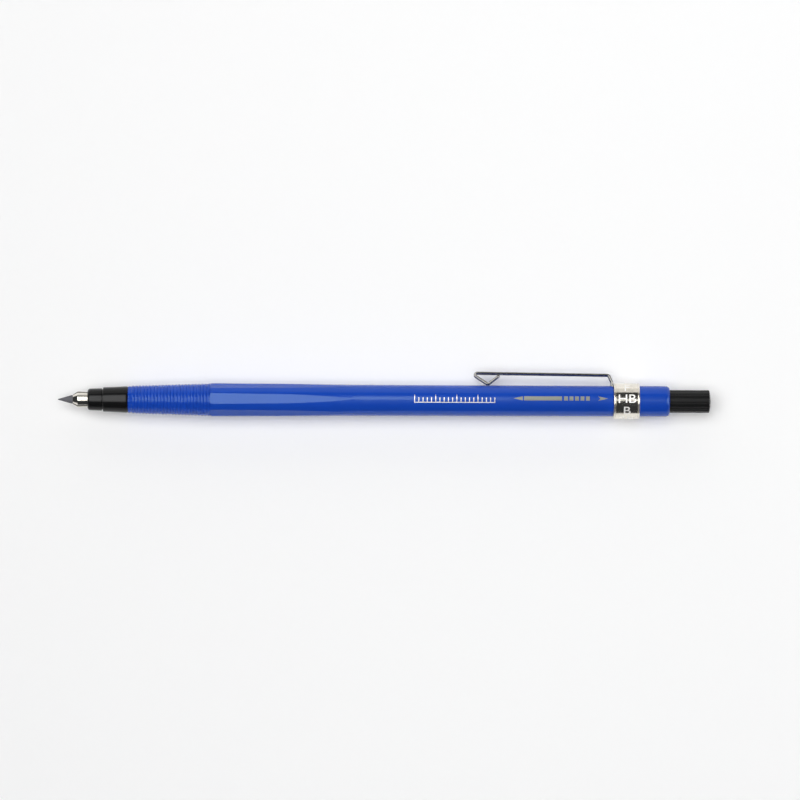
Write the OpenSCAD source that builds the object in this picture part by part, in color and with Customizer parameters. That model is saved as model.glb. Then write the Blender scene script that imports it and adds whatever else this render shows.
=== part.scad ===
// Clutch-type lead holder for 2 mm drafting leads, lying on its grade ring.
// Every piece is drawn about the holder's own axis, which is local +Z, with local z = 0 at the front face
// of the closed jaws. lay() then turns the axis to world +X and the clip side to world +Y. The origin is
// the bottom centre of the whole holder, so the surface that it lies on is world z = 0.

/* [Lead] */
// Lead diameter
lead_d = 2; // [1.6:0.1:3.2]
// Lead length
lead_length = 130; // [90:1:160]
// How far the point stands out of the closed jaws
lead_exposed = 3.6; // [1:0.1:6]
// Full angle of the sharpened point
point_angle = 32; // [16:1:50]
// Free length behind a new lead
lead_room = 17.6; // [5:0.1:40]

/* [Clutch] */
// Wall of the jaws at their thickest place
head_wall = 0.89; // [0.7:0.01:1.3]
// Length of the chamfer at the front of the jaws
head_chamfer = 1.15; // [0.6:0.05:2]
// Length of the tapered head
head_length = 8; // [6:0.1:11]
// Loss of radius for each millimetre of the head's taper
head_slope = 0.045; // [0.03:0.005:0.08]
// Length of the slits from the front face to the flexing root
jaw_length = 16; // [13:0.1:20]
// Width of the slits between the jaws
slit_width = 0.42; // [0.2:0.02:0.7]
// Wall of the thin shanks behind the head
shank_wall = 0.22; // [0.15:0.01:0.35]
// Travel of the push button
stroke = 4; // [2:0.1:5]

/* [Nose] */
// Length of head that shows in front of the nose
head_show = 3.47; // [2:0.01:5]
// Visible length of the nose tip
tip_length = 3.4; // [2:0.1:5]
// Wall of the nose tip at its mouth
mouth_wall = 0.75; // [0.5:0.01:1.2]
// Width of the groove between the nose tip and the nose cone
groove_width = 0.26; // [0.1:0.02:0.6]
// Visible length of the nose cone
cone_length = 5.96; // [4:0.01:9]

/* [Grip and barrel] */
// Number of rings on the grip
ridge_count = 24; // [12:1:30]
// Distance between two grip rings
ridge_pitch = 0.78; // [0.6:0.01:1]
// Depth of the grooves between the grip rings
ridge_depth = 0.18; // [0.1:0.01:0.25]
// Wall of the barrel at the front ring
grip_wall = 0.9; // [0.6:0.01:1.2]
// Length of the full-width hexagonal belly
belly_length = 13.4; // [8:0.1:20]
// How much the belly's radius exceeds the rear of the barrel
belly_swell = 0.27; // [0.1:0.01:0.6]
// Depth of the six flats on the belly
flat_depth = 0.22; // [0.1:0.01:0.4]
// Length over which the belly's flats run out into the round barrel
taper_length = 24; // [15:0.5:40]
// Wall of the neck that carries the grade ring
neck_wall = 0.83; // [0.7:0.01:1.2]
// Height of the shoulder in front of the grade ring
shoulder = 0.43; // [0.3:0.01:0.6]

/* [Grade ring] */
// Width of the ring
ring_width = 6.1; // [4:0.1:9]
// Wall of the ring on the neck
ring_wall = 1.03; // [0.75:0.01:1.4]
// Width of the two raised rims
rim_width = 0.4; // [0.2:0.05:0.8]

/* [Barrel end and button] */
// Visible length of the barrel end behind the ring
end_length = 7.2; // [5.5:0.1:10]
// Length of the barrel end's rounded rear edge
end_round = 1.15; // [0.3:0.05:1.4]
// How far the lead tube stands out of the barrel end
tube_proud = 2.33; // [1:0.01:5]
// Wall of the button
button_wall = 0.89; // [0.7:0.01:1.3]
// Number of flutes round the button
flute_count = 16; // [10:1:20]
// Length of the lead pointer inside the button
pointer_length = 6.2; // [5:0.1:8]
// Thickness of the button's end
button_end_wall = 1.2; // [0.8:0.1:2]

/* [Tube and spring] */
// Wall of the lead tube
tube_wall = 0.29; // [0.2:0.01:0.45]
// Thickness of the spring wire
spring_wire = 0.3; // [0.2:0.01:0.36]
// Number of working turns
spring_turns = 8; // [5:1:10]

/* [Clip] */
// Thickness of the clip wire
clip_wire = 0.6; // [0.5:0.02:0.7]
// Length from the grade ring to the front bend
clip_length = 33.35; // [20:0.05:45]
// Height of the clip wire's centre above the barrel
clip_rise = 2.48; // [1.8:0.05:3.5]
// Distance between the two wires
clip_spread = 2; // [1.4:0.1:2.6]
// Length of the triangular foot
foot_length = 6.05; // [4:0.1:10]

/* [Hidden] */
$fn = 96;

// Clearances, all on the radius or along the axis
press_gap = 0.01;    // pieces that are pressed or screwed together
running_gap = 0.05;  // pieces that slide or turn in each other
seat_gap = 0.03;     // taper of the closed jaws in the nose tip
flex_gap = 0.03;     // between a flexing piece and its root
lead_gap = 0.2;      // lead in the shanks of the jaws

// Radii, from the lead outwards
lead_r = lead_d / 2;
grip_r = lead_r + press_gap;
head_r = grip_r + head_wall;
shank_bore_r = lead_r + lead_gap;
shank_r = shank_bore_r + shank_wall;
sleeve_bore_r = lead_r + 0.12;
tail_r = shank_r + 0.03;
tube_bore_r = tail_r + press_gap;
tube_r = tube_bore_r + tube_wall;
coil_bore_r = shank_r + 0.18;
coil_r = coil_bore_r + spring_wire;
collar_r = max(coil_r, tube_r + 0.1);
chamber_r = collar_r + 2 * running_gap;
spigot_r = chamber_r + 0.4;
barrel_bore_r = spigot_r + press_gap;
neck_r = barrel_bore_r + neck_wall;
rear_r = neck_r + shoulder;
belly_r = rear_r + belly_swell;
flat_r = belly_r - flat_depth;
grip_front_r = barrel_bore_r + grip_wall;
ring_bore_r = neck_r + running_gap;
ring_r = ring_bore_r + ring_wall;
rim_rise = 0.07;
rear_draft = 0.04;
belly_draft = 0.05;
end_r = rear_r - 0.01;
pointer_r = tube_r + 0.02;
button_bore_r = tube_r + running_gap;
button_r = button_bore_r + button_wall;
pocket_r = button_r + running_gap;

// Stations along the axis, from the front face of the closed jaws
mouth_z = head_show;
groove_z = mouth_z + tip_length;
cone_z = groove_z + groove_width;
grip_z = cone_z + cone_length;
grip_rim = 0.8;
ridges_z = grip_z + grip_rim;
belly_z = ridges_z + ridge_count * ridge_pitch;
taper_z = belly_z + belly_length;
round_z = taper_z + taper_length;
spring_seat_z = max(groove_z + 2.1, head_length + 1);
collar_z = max(jaw_length + 2.5, spring_seat_z + stroke + (spring_turns + 4) * spring_wire);
collar_width = 1.5;
tail_z = collar_z + collar_width;
tail_length = 5;
spigot_end_z = tail_z + 1;
tube_end_z = lead_length - lead_exposed + lead_room;
end_z = tube_end_z - tube_proud;
neck_end_z = end_z - end_length;
ring_float = 0.15;
ring_z = neck_end_z - press_gap - ring_width;
shoulder_z = ring_z - ring_float;
pocket_floor = 0.95;
pocket_z = neck_end_z + pocket_floor;
button_z = pocket_z + stroke + 0.1;
pointer_z = tube_end_z + press_gap;
button_floor_z = pointer_z + pointer_length + press_gap;
button_end_z = button_floor_z + button_end_wall;
end_spigot = 7.5;

// Clip wire
clip_r = clip_wire / 2;
clip_half = clip_spread / 2;
clasp_groove_r = neck_r - 0.3;
clasp_r = clasp_groove_r + clip_r + 0.02;
lip_bore_r = clasp_r + clip_r + running_gap + 0.02;
clasp_z = ring_z + 0.1 + clip_r;
lip_depth = 0.1 + clip_wire + 2 * running_gap;
leg_z = ring_z - 0.1 - clip_r;
leg_y = sqrt(clasp_r * clasp_r - clip_half * clip_half);
arm_y = rear_r + clip_rise;
arm_lift = 0.42;
leg_lean = 0.45;
fold_r = 0.42;
knee_y = ring_r + 0.1;
leg_top_z = leg_z - leg_lean * (arm_y - knee_y);
front_z = ring_z - clip_length;
foot_z = front_z + 0.58 * foot_length;
foot_y = sqrt(pow(barrel_r(foot_z) + clip_r + 0.02, 2) - clip_half * clip_half);
hinge_y = rear_r;
hinge_z = leg_z;
notch_front_z = hinge_z - clip_r - 0.12;

// Width of the whole holder across the clip side
clip_top = arm_y + arm_lift + clip_r;
axis_y = -(clip_top - ring_r) / 2;
middle_z = (button_end_z - lead_exposed) / 2;

// ---------- shared functions ----------

// Radius of the barrel behind the grip, without the flats: a belly with a little draft, an eased taper and
// a nearly straight rear.
function barrel_r(z) =
    let (drop = belly_swell - belly_draft - rear_draft)
    z < taper_z ? belly_r - belly_draft * (z - belly_z) / belly_length
    : z < round_z ? belly_r - belly_draft - drop * (1 - cos(180 * (z - taper_z) / taper_length)) / 2
    : rear_r + rear_draft * (shoulder_z - z) / (shoulder_z - round_z);

// Radius of the grip's envelope, which widens in a straight line to the belly.
function grip_envelope(z) = grip_front_r + (belly_r - 0.04 - grip_front_r) * (z - ridges_z) / (belly_z - ridges_z);

// Radius of the jaws' tapered head.
function head_taper_r(z) = head_r - head_slope * (z - head_chamfer);

// Points of an arc in the plane of the profile, [radius, z], with `from` and `to` in degrees.
function arc(centre, r, from, to, steps) =
    [for (i = [0:steps]) centre + r * [cos(from + (to - from) * i / steps), sin(from + (to - from) * i / steps)]];

function unit(v) = v / norm(v);

// The bend at b on the way from a to c, with the given radius.
function bend(a, b, c, r, steps) =
    let (
        back = unit(a - b),
        on = unit(c - b),
        half = acos(back * on) / 2,
        centre = b + unit(back + on) * r / sin(half),
        first = (b + back * r / tan(half) - centre) / r,
        last = (b + on * r / tan(half) - centre) / r,
        sweep = 180 - 2 * half
    )
    [for (i = [0:steps])
        centre + r * (sin(sweep * (1 - i / steps)) * first + sin(sweep * i / steps) * last) / sin(sweep)];

// A wire's centreline through the given corners, each rounded to its own radius.
function rounded_path(corners, radii, steps = 5) =
    let (last = len(corners) - 1)
    concat(
        [corners[0]],
        [for (i = [1:last - 1]) each bend(corners[i - 1], corners[i], corners[i + 1], radii[i - 1], steps)],
        [corners[last]]
    );

// Direction of the path at point i.
function heading(path, i) =
    let (last = len(path) - 1)
    unit(unit(path[min(i + 1, last)] - path[min(i, last - 1)]) + unit(path[max(i, 1)] - path[max(i - 1, 0)]));

// Side vectors carried along the path, so that the wire's section doesn't twist.
function side_vectors(path, side, i = 0, done = []) =
    i == len(path) ? done
    : let (
        along = heading(path, i),
        turned = unit(side - (side * along) * along)
    )
    side_vectors(path, turned, i + 1, concat(done, [turned]));

// Round wire of radius r along a path. `side` is any direction across the path's start.
module wire(path, r, sides, side) {
    across = side_vectors(path, side);
    rings = len(path);
    points = [for (i = [0:rings - 1], k = [0:sides - 1])
        let (up = cross(heading(path, i), across[i]), a = 360 * k / sides)
        path[i] + r * (cos(a) * across[i] + sin(a) * up)];
    walls = [for (i = [0:rings - 2], k = [0:sides - 1])
        let (a = i * sides + k, b = i * sides + (k + 1) % sides)
        each [[a, a + sides, b + sides], [a, b + sides, b]]];
    caps = [
        [for (k = [0:sides - 1]) k],
        [for (k = [sides - 1:-1:0]) (rings - 1) * sides + k]
    ];
    polyhedron(points, concat(walls, caps), convexity = 10);
}

// Turns the holder's own axis to world +X, with the clip towards +Y and the ring on the surface z = 0.
module lay() {
    translate([-middle_z, axis_y, ring_r]) rotate([0, 90, 0]) children();
}

// Ring or tube between two stations.
module sleeve(outer, inner, from, to) {
    translate([0, 0, from])
        difference() {
            cylinder(r = outer, h = to - from);
            translate([0, 0, -1]) cylinder(r = inner, h = to - from + 2);
        }
}

// ---------- lead and clutch ----------

// Graphite stick, sharpened at the front.
module lead() {
    point_length = (lead_r - 0.08) / tan(point_angle / 2);
    color([0.2, 0.2, 0.21])
        rotate_extrude()
            polygon([
                [0, -lead_exposed],
                [0.08, -lead_exposed],
                [lead_r, point_length - lead_exposed],
                [lead_r, lead_length - lead_exposed],
                [0, lead_length - lead_exposed]
            ]);
}

// One of the three spring jaws: a thick tapered head on a thin shank. Its bore grips the lead at the front.
module clutch_jaw(turn) {
    apex = slit_width / 2 / sin(60);
    grip_end = head_show + 0.4;
    color([0.78, 0.76, 0.7])
        rotate([0, 0, turn])
            intersection() {
                rotate_extrude()
                    polygon([
                        [grip_r + 0.08, 0],
                        [grip_r, 0.2],
                        [grip_r, grip_end],
                        [shank_bore_r, grip_end + 0.4],
                        [shank_bore_r, jaw_length - flex_gap],
                        [shank_r, jaw_length - flex_gap],
                        [shank_r, head_length + 0.4],
                        [head_taper_r(head_length), head_length],
                        [head_r, head_chamfer],
                        [grip_r + 0.18, 0]
                    ]);
                translate([0, 0, -1])
                    linear_extrude(jaw_length + 2)
                        polygon([[apex, 0], [apex + 3 * head_r, 3 * head_r * tan(60)],
                            [apex + 3 * head_r, -3 * head_r * tan(60)]]);
            }
}

// Root of the jaws, the collar that the spring pushes on, and the tail that carries the lead tube.
module clutch_sleeve() {
    color([0.8, 0.68, 0.38])
        rotate_extrude()
            polygon([
                [shank_bore_r, jaw_length],
                [shank_r, jaw_length],
                [shank_r, collar_z],
                [collar_r, collar_z],
                [collar_r, tail_z],
                [tail_r, tail_z],
                [tail_r, tail_z + tail_length - 0.3],
                [tail_r - 0.15, tail_z + tail_length],
                [sleeve_bore_r, tail_z + tail_length],
                [sleeve_bore_r, jaw_length + 1]
            ]);
}

// Tube that holds the rest of the lead and joins the clutch to the button.
module lead_tube() {
    color([0.82, 0.7, 0.4]) sleeve(tube_r, tube_bore_r, tail_z, tube_end_z);
}

// Centreline height of the spring after t turns. The first and last turns lie closed.
function coil_z(t) =
    let (
        pitch = (collar_z - spring_seat_z - 3 * spring_wire - 2 * press_gap) / spring_turns
    )
    spring_seat_z + press_gap + spring_wire / 2
        + spring_wire * min(t, 1)
        + pitch * max(0, min(t - 1, spring_turns))
        + spring_wire * max(0, t - 1 - spring_turns);

// Return spring between the nose tip and the clutch's collar.
module clutch_spring() {
    steps = 20;
    turns = spring_turns + 2;
    mean_r = coil_bore_r + spring_wire / 2;
    color([0.75, 0.76, 0.78])
        wire(
            [for (i = [0:turns * steps])
                let (a = 360 * i / steps) [mean_r * cos(a), mean_r * sin(a), coil_z(i / steps)]],
            spring_wire / 2 - 0.005, 8, [1, 0, 0]
        );
}

// ---------- nose, barrel and ring ----------

// Front piece with the tapered seat that closes the jaws. Its rear face carries the spring.
module nose_tip() {
    mouth_r = head_taper_r(mouth_z) + seat_gap;
    seat_end_z = head_length - 0.5;
    throat_r = max(head_taper_r(seat_end_z), shank_r) + seat_gap;
    front_r = mouth_r + mouth_wall;
    rear = front_r + 0.1;
    spigot = chamber_r + 0.2;
    groove_floor = max(spigot + 0.1, rear - 0.22);
    slot_width = 0.35;
    color([0.1, 0.1, 0.1])
        difference() {
            rotate_extrude()
                polygon(concat(
                    [[mouth_r, mouth_z]],
                    arc([front_r - 0.62, mouth_z + 0.62], 0.62, -90, 0, 6),
                    [
                        [rear, groove_z - 0.1],
                        [rear - 0.1, groove_z],
                        [groove_floor, groove_z],
                        [groove_floor, cone_z - press_gap],
                        [spigot, cone_z - press_gap],
                        [spigot, spring_seat_z - press_gap],
                        [throat_r, spring_seat_z - press_gap],
                        [throat_r, seat_end_z]
                    ]
                ));
            // key slot for the tool that seats the tip
            translate([-rear - 0.5, -slot_width / 2, groove_z - 1.3])
                cube([0.72, slot_width, 0.95]);
        }
}

// Black cone behind the tip. It houses the spring and screws into the barrel.
module nose_cone() {
    rear = grip_front_r - 0.16;
    front = rear - 0.25;
    socket_r = chamber_r + 0.2 + press_gap;
    color([0.1, 0.1, 0.1])
        rotate_extrude()
            polygon([
                [socket_r, cone_z],
                [front - 0.12, cone_z],
                [front, cone_z + 0.12],
                [rear, grip_z - 0.45],
                [rear - 0.1, grip_z - press_gap],
                [spigot_r, grip_z - press_gap],
                [spigot_r, spigot_end_z - 0.3],
                [spigot_r - 0.2, spigot_end_z],
                [chamber_r, spigot_end_z],
                [chamber_r, spring_seat_z],
                [socket_r, spring_seat_z]
            ]);
}

// Rounded rings of the grip. Each is an arc that bulges to the envelope between two sharp grooves.
function ridge_points() =
    let (
        half = ridge_pitch / 2,
        bulge_r = (half * half + ridge_depth * ridge_depth) / (2 * ridge_depth),
        half_angle = asin(half / bulge_r),
        steps = 6
    )
    [for (ring = [0:ridge_count - 1], i = [0:steps - 1])
        let (a = half_angle * (2 * i / steps - 1), z = ridges_z + (ring + 0.5) * ridge_pitch + bulge_r * sin(a))
        [grip_envelope(z) - bulge_r * (1 - cos(a)), z]];

// Blue moulding: ringed grip, hexagonal belly that runs out into a round rear, and the ring's neck.
module barrel() {
    edge = 0.25;
    taper_steps = 8;
    color([0.1, 0.25, 0.72])
        difference() {
            rotate_extrude()
                polygon(concat(
                    [[barrel_bore_r, grip_z]],
                    arc([grip_front_r - 0.08 - edge, grip_z + edge], edge, -90, 0, 4),
                    ridge_points(),
                    [
                        [grip_envelope(belly_z) - ridge_depth, belly_z],
                        [belly_r - 0.06, belly_z + 0.04],
                        [barrel_r(belly_z + 0.4), belly_z + 0.4],
                        for (i = [0:taper_steps])
                            let (z = taper_z + i * taper_length / taper_steps) [barrel_r(z), z],
                        [rear_r, shoulder_z - 0.1],
                        [rear_r - 0.1, shoulder_z],
                        [neck_r, shoulder_z],
                        [neck_r, neck_end_z],
                        [barrel_bore_r, neck_end_z]
                    ]
                ));
            // six flats, which start at the grip's last groove and run out in the taper
            for (turn = [0:60:300])
                rotate([0, 0, turn])
                    translate([flat_r, -belly_r, belly_z + 0.01])
                        cube([belly_r, 2 * belly_r, shoulder_z - belly_z - 1]);
            // groove for the clip's clasp
            sleeve(neck_r + 1, clasp_groove_r, clasp_z - clip_r - 0.02, clasp_z + clip_r + 0.02);
            // two notches for the clip's legs
            for (side = [-1, 1])
                translate([side * clip_half - clip_r - 0.05, leg_y - clip_r - 0.05, notch_front_z])
                    cube([clip_wire + 0.1, 2, clasp_z - notch_front_z]);
        }
}

// Rear bush: keeps the grade ring on, and guides the tube and the button.
module barrel_end() {
    fillet = min(end_round, end_r - pocket_r - 0.1);
    color([0.1, 0.25, 0.72])
        rotate_extrude()
            polygon(concat(
                [
                    [tube_r + running_gap, neck_end_z - end_spigot],
                    [spigot_r - 0.2, neck_end_z - end_spigot],
                    [spigot_r, neck_end_z - end_spigot + 0.3],
                    [spigot_r, neck_end_z + press_gap],
                    [end_r, neck_end_z + press_gap]
                ],
                [for (a = [0:15:90]) [end_r - fillet * (1 - cos(a)), end_z - end_round * (1 - sin(a))]],
                [
                    [pocket_r, end_z],
                    [pocket_r, pocket_z],
                    [tube_r + running_gap, pocket_z]
                ]
            ));
}

// Plated ring that turns on the neck to show the grade of the lead. A lip covers the clip's clasp.
module grade_ring() {
    z0 = ring_z;
    z1 = ring_z + ring_width - press_gap;
    band_r = ring_r - rim_rise;
    color([0.82, 0.81, 0.76])
        rotate_extrude()
            polygon(concat(
                [
                    [ring_bore_r, z0 + lip_depth],
                    [lip_bore_r, z0 + lip_depth],
                    [lip_bore_r, z0]
                ],
                rim_points(z0),
                [[band_r, z0 + rim_width + 0.06], [band_r, z1 - rim_width - 0.06]],
                rim_points(z1 - rim_width),
                [[ring_bore_r, z1]]
            ));
}

// Rounded rim of the grade ring that starts at z.
function rim_points(z) =
    let (round = 0.12)
    concat(
        arc([ring_r - round, z + round], round, -90, 0, 3),
        arc([ring_r - round, z + rim_width - round], round, 0, 90, 3)
    );

// ---------- clip ----------

// Corners of half of the clip arm, from its root to the middle of the foot's cross wire. The front corner
// lies in front of the fold, which the bend's radius cuts off.
function arm_corners(side) =
    let (fold_half = atan2(arm_y + arm_lift - foot_y, foot_z - front_z) / 2)
    [
        [side * clip_half, hinge_y, hinge_z],
        [side * clip_half, knee_y, hinge_z],
        [side * clip_half, arm_y, leg_top_z],
        [side * clip_half, arm_y + arm_lift, front_z + clip_r - fold_r * (1 / sin(fold_half) - 1)],
        [side * clip_half, foot_y, foot_z],
        [side * clip_half, arm_y + arm_lift - clip_wire - 0.1, front_z + foot_length]
    ];

// Spring wire clip, bent from one wire into a hairpin whose front is folded to a foot on the barrel.
module clip_arm() {
    there = arm_corners(1);
    back = arm_corners(-1);
    bends = [0.6, 0.6, fold_r, 0.4, 0.45];
    color([0.72, 0.72, 0.7])
        wire(
            rounded_path(
                concat(there, [for (i = [len(back) - 1:-1:0]) back[i]]),
                concat(bends, [for (i = [len(bends) - 1:-1:0]) bends[i]])
            ),
            clip_r, 14, [1, 0, 0]
        );
}

// One end of the clip's wire, which hugs its own half of the barrel's neck under the ring.
module clip_end() {
    start = asin(clip_half / clasp_r);
    open_angle = 25;
    corner_run = 0.5;
    stub_top = [clip_half, hinge_y - flex_gap, hinge_z];
    ring_arc = [for (i = [0:24])
        let (a = start + 9 + (180 - open_angle / 2 - start - 9) * (24 - i) / 24)
        [clasp_r * sin(a), clasp_r * cos(a), clasp_z]];
    path = concat(
        ring_arc,
        bend(ring_arc[24], [clip_half, leg_y, clasp_z], [clip_half, leg_y, leg_z], 0.32, 5),
        bend([clip_half, leg_y, clasp_z], [clip_half, leg_y, leg_z], stub_top, 0.32, 5),
        [stub_top]
    );
    color([0.72, 0.72, 0.7]) wire(path, clip_r, 14, [0, 0, 1]);
}

// ---------- button and lead pointer ----------

// Fluted push button. It pulls off the tube to use the lead pointer inside it.
module push_button() {
    dome = 0.32;
    edge = 0.25;
    flute_r = 0.32;
    color([0.08, 0.08, 0.08])
        difference() {
            rotate_extrude()
                polygon(concat(
                    [
                        [0, button_floor_z],
                        [button_bore_r, button_floor_z],
                        [button_bore_r, button_z + 0.2],
                        [button_bore_r + 0.15, button_z],
                        [button_r - 0.15, button_z],
                        [button_r, button_z + 0.15]
                    ],
                    arc([button_r - edge, button_end_z - dome - edge], edge, 0, 60, 4),
                    [[button_r * 0.55, button_end_z - 0.12], [0, button_end_z]]
                ));
            for (i = [0:flute_count - 1])
                rotate([0, 0, (i + 0.5) * 360 / flute_count])
                    translate([button_r + flute_r * 0.55, 0, button_z - 1])
                        cylinder(r = flute_r, h = button_end_z - button_z + 2, $fn = 24);
        }
}

// Plug with a conical hole that matches the lead's point, and a slot for the blade.
module pointer_body() {
    color([0.75, 0.62, 0.3])
        difference() {
            rotate_extrude() polygon(pointer_profile());
            blade_box(press_gap, 1);
        }
}

// Half section of the pointer's plug, with the cone that takes the lead.
function pointer_profile() =
    let (mouth = lead_r + 0.1, cone = (mouth - 0.1) / tan(point_angle / 2))
    [
        [0, pointer_z + 0.4 + cone],
        [0.1, pointer_z + 0.4 + cone],
        [mouth, pointer_z + 0.4],
        [mouth, pointer_z],
        [pointer_r, pointer_z],
        [pointer_r, pointer_z + pointer_length],
        [0, pointer_z + pointer_length]
    ];

// The blade's plate, whose inner edge lies on the cone, grown by `gap` on each face and by `over` outwards.
module blade_box(gap, over) {
    thick = 0.3;
    long = pointer_length - 1.8;
    translate([0, -lead_r * 0.35 - thick, pointer_z + 0.6])
        rotate([0, -point_angle / 2, 0])
            translate([lead_r + 0.1, -gap, -gap])
                cube([pointer_r - lead_r - 0.25 + over, thick + 2 * gap, long + 2 * gap]);
}

// Small steel blade of the lead pointer.
module pointer_blade() {
    color([0.7, 0.72, 0.75])
        intersection() {
            blade_box(0, 1);
            translate([0, 0, pointer_z]) cylinder(r = pointer_r, h = pointer_length);
        }
}

lay() lead();
lay() clutch_jaw(180);  // clutch_jaw_1
lay() clutch_jaw(300);  // clutch_jaw_2
lay() clutch_jaw(60);  // clutch_jaw_3
lay() clutch_sleeve();
lay() lead_tube();
lay() clutch_spring();
lay() nose_tip();
lay() nose_cone();
lay() barrel();
lay() barrel_end();
lay() grade_ring();
lay() clip_arm();
lay() clip_end();  // clip_end_1
lay() mirror([1, 0, 0]) clip_end();  // clip_end_2
lay() push_button();
lay() pointer_body();
lay() pointer_blade();
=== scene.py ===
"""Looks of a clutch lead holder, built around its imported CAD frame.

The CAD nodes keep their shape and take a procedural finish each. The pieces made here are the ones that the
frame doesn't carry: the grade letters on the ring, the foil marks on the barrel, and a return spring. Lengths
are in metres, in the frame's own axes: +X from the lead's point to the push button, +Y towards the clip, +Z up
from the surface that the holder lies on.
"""

from __future__ import annotations

import logging
import math
from collections.abc import Iterable, Sequence
from dataclasses import dataclass, field
from enum import Enum

import bmesh
import bpy
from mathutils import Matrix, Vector
from mathutils.bvhtree import BVHTree

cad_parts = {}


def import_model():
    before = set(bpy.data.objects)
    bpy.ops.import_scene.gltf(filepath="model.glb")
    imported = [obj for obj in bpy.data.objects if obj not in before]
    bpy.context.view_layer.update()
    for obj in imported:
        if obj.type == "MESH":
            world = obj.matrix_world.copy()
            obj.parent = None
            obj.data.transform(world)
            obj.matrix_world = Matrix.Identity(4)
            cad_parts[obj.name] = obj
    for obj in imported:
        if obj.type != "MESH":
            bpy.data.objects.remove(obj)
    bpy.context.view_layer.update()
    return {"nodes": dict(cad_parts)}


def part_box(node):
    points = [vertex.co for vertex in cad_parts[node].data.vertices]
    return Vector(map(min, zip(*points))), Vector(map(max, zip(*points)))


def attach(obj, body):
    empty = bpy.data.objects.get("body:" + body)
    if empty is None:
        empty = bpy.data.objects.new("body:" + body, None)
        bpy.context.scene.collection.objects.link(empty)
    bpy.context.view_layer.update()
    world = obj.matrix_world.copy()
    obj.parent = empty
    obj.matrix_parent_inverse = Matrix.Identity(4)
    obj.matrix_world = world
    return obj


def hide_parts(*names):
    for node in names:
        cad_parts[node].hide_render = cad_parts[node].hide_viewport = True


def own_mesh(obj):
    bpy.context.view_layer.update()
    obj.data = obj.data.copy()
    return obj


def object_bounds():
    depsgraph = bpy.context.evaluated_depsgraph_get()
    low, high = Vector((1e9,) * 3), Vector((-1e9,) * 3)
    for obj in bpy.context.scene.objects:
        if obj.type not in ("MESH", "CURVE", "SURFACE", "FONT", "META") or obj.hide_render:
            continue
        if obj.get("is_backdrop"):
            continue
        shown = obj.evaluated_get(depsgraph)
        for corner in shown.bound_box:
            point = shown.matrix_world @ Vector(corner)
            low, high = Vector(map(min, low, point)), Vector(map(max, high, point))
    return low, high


LOG = logging.getLogger("lead_holder")
MM = 0.001
NOISE_MIDDLE = 0.5

Colour = tuple[float, float, float]
Size = tuple[float, float, float]
Point = tuple[float, float]


# ---------------------------------------------------------------- shader graph


class Signal:
    """A shader socket that takes part in Python arithmetic; each operation adds one Math node."""

    def __init__(self, graph: "Graph", socket: bpy.types.NodeSocket) -> None:
        """Wraps an output socket.

        Args:
            graph: The graph that the socket belongs to.
            socket: The output socket.
        """
        self.graph = graph
        self.socket = socket

    def _math(self, operation: str, *values: "Signal | float") -> "Signal":
        """Adds a Math node.

        Args:
            operation: The node's operation.
            *values: Its inputs in order.

        Returns:
            The node's result.
        """
        return self.graph.node("ShaderNodeMath", {"operation": operation}, dict(enumerate(values)))["Value"]

    def __add__(self, other: "Signal | float") -> "Signal":
        """self + other."""
        return self._math("ADD", self, other)

    __radd__ = __add__

    def __sub__(self, other: "Signal | float") -> "Signal":
        """self - other."""
        return self._math("SUBTRACT", self, other)

    def __rsub__(self, other: float) -> "Signal":
        """other - self."""
        return self._math("SUBTRACT", other, self)

    def __mul__(self, other: "Signal | float") -> "Signal":
        """self * other."""
        return self._math("MULTIPLY", self, other)

    __rmul__ = __mul__

    def __gt__(self, other: "Signal | float") -> "Signal":
        """1 where self is above other, else 0."""
        return self._math("GREATER_THAN", self, other)

    def clamped(self, low: float, high: float) -> "Signal":
        """The value held between low and high."""
        return self._math("MINIMUM", self._math("MAXIMUM", self, low), high)


class Outputs:
    """The outputs of one node, by name."""

    def __init__(self, graph: "Graph", node: bpy.types.Node) -> None:
        """Wraps a node.

        Args:
            graph: The graph that the node belongs to.
            node: The node.
        """
        self.graph = graph
        self.node = node

    def __getitem__(self, name: str | int) -> Signal:
        """The output of that name or number."""
        return Signal(self.graph, self.node.outputs[name])


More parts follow.
